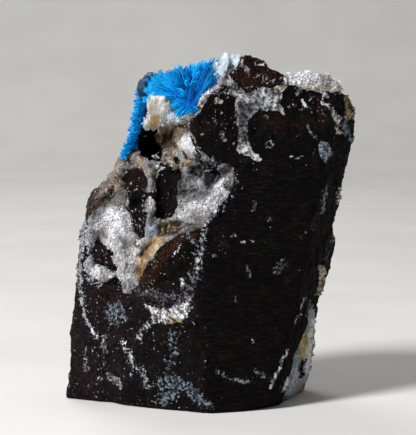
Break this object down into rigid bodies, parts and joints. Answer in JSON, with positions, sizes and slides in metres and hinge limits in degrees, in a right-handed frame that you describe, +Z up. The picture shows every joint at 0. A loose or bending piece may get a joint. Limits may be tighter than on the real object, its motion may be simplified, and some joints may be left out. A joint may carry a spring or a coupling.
{
  "type": "cavansite mineral specimen",
  "caption": "Natural cavansite specimen: sprays of blue blades on white zeolite, at the top of a trimmed dark basalt breccia block.",
  "frame": {"origin": "middle of the flat cut base, on the surface that the specimen stands on", "axes": "+Z up from the cut base to the cavansite, -Y towards the sawn face and the cavansite, +X to the viewer's right"},
  "size_m": [0.0553, 0.0382, 0.066],
  "materials": {
    "basalt_breccia": "rough broken rock, matt sawn front face with fine saw marks",
    "zeolite_druse": "sparkling granular crystals, white to pale grey with cream and brown patches",
    "cavansite": "vivid azure blades with a glassy to pearly lustre, darker at their roots",
    "cream_stilbite": "pearly cream-white blades",
    "white_stilbite": "translucent white to pale blue blades, glassy",
    "heulandite": "clear to grey glassy crystals",
    "top_druse": "white druse with cream and orange stain below",
    "yellow_coat": "dull yellowish white coat of fine crystals"
  },
  "bodies": {
    "root": {"basalt_matrix": "basalt_breccia", "zeolite_crust": "zeolite_druse", "cavansite_rosettes": "cavansite", "stilbite_cream_blades": "cream_stilbite", "stilbite_white_sheaf": "white_stilbite", "heulandite_clear_cluster": "heulandite", "top_edge_druse": "top_druse", "side_coat": "yellow_coat"}
  },
  "joints": []
}
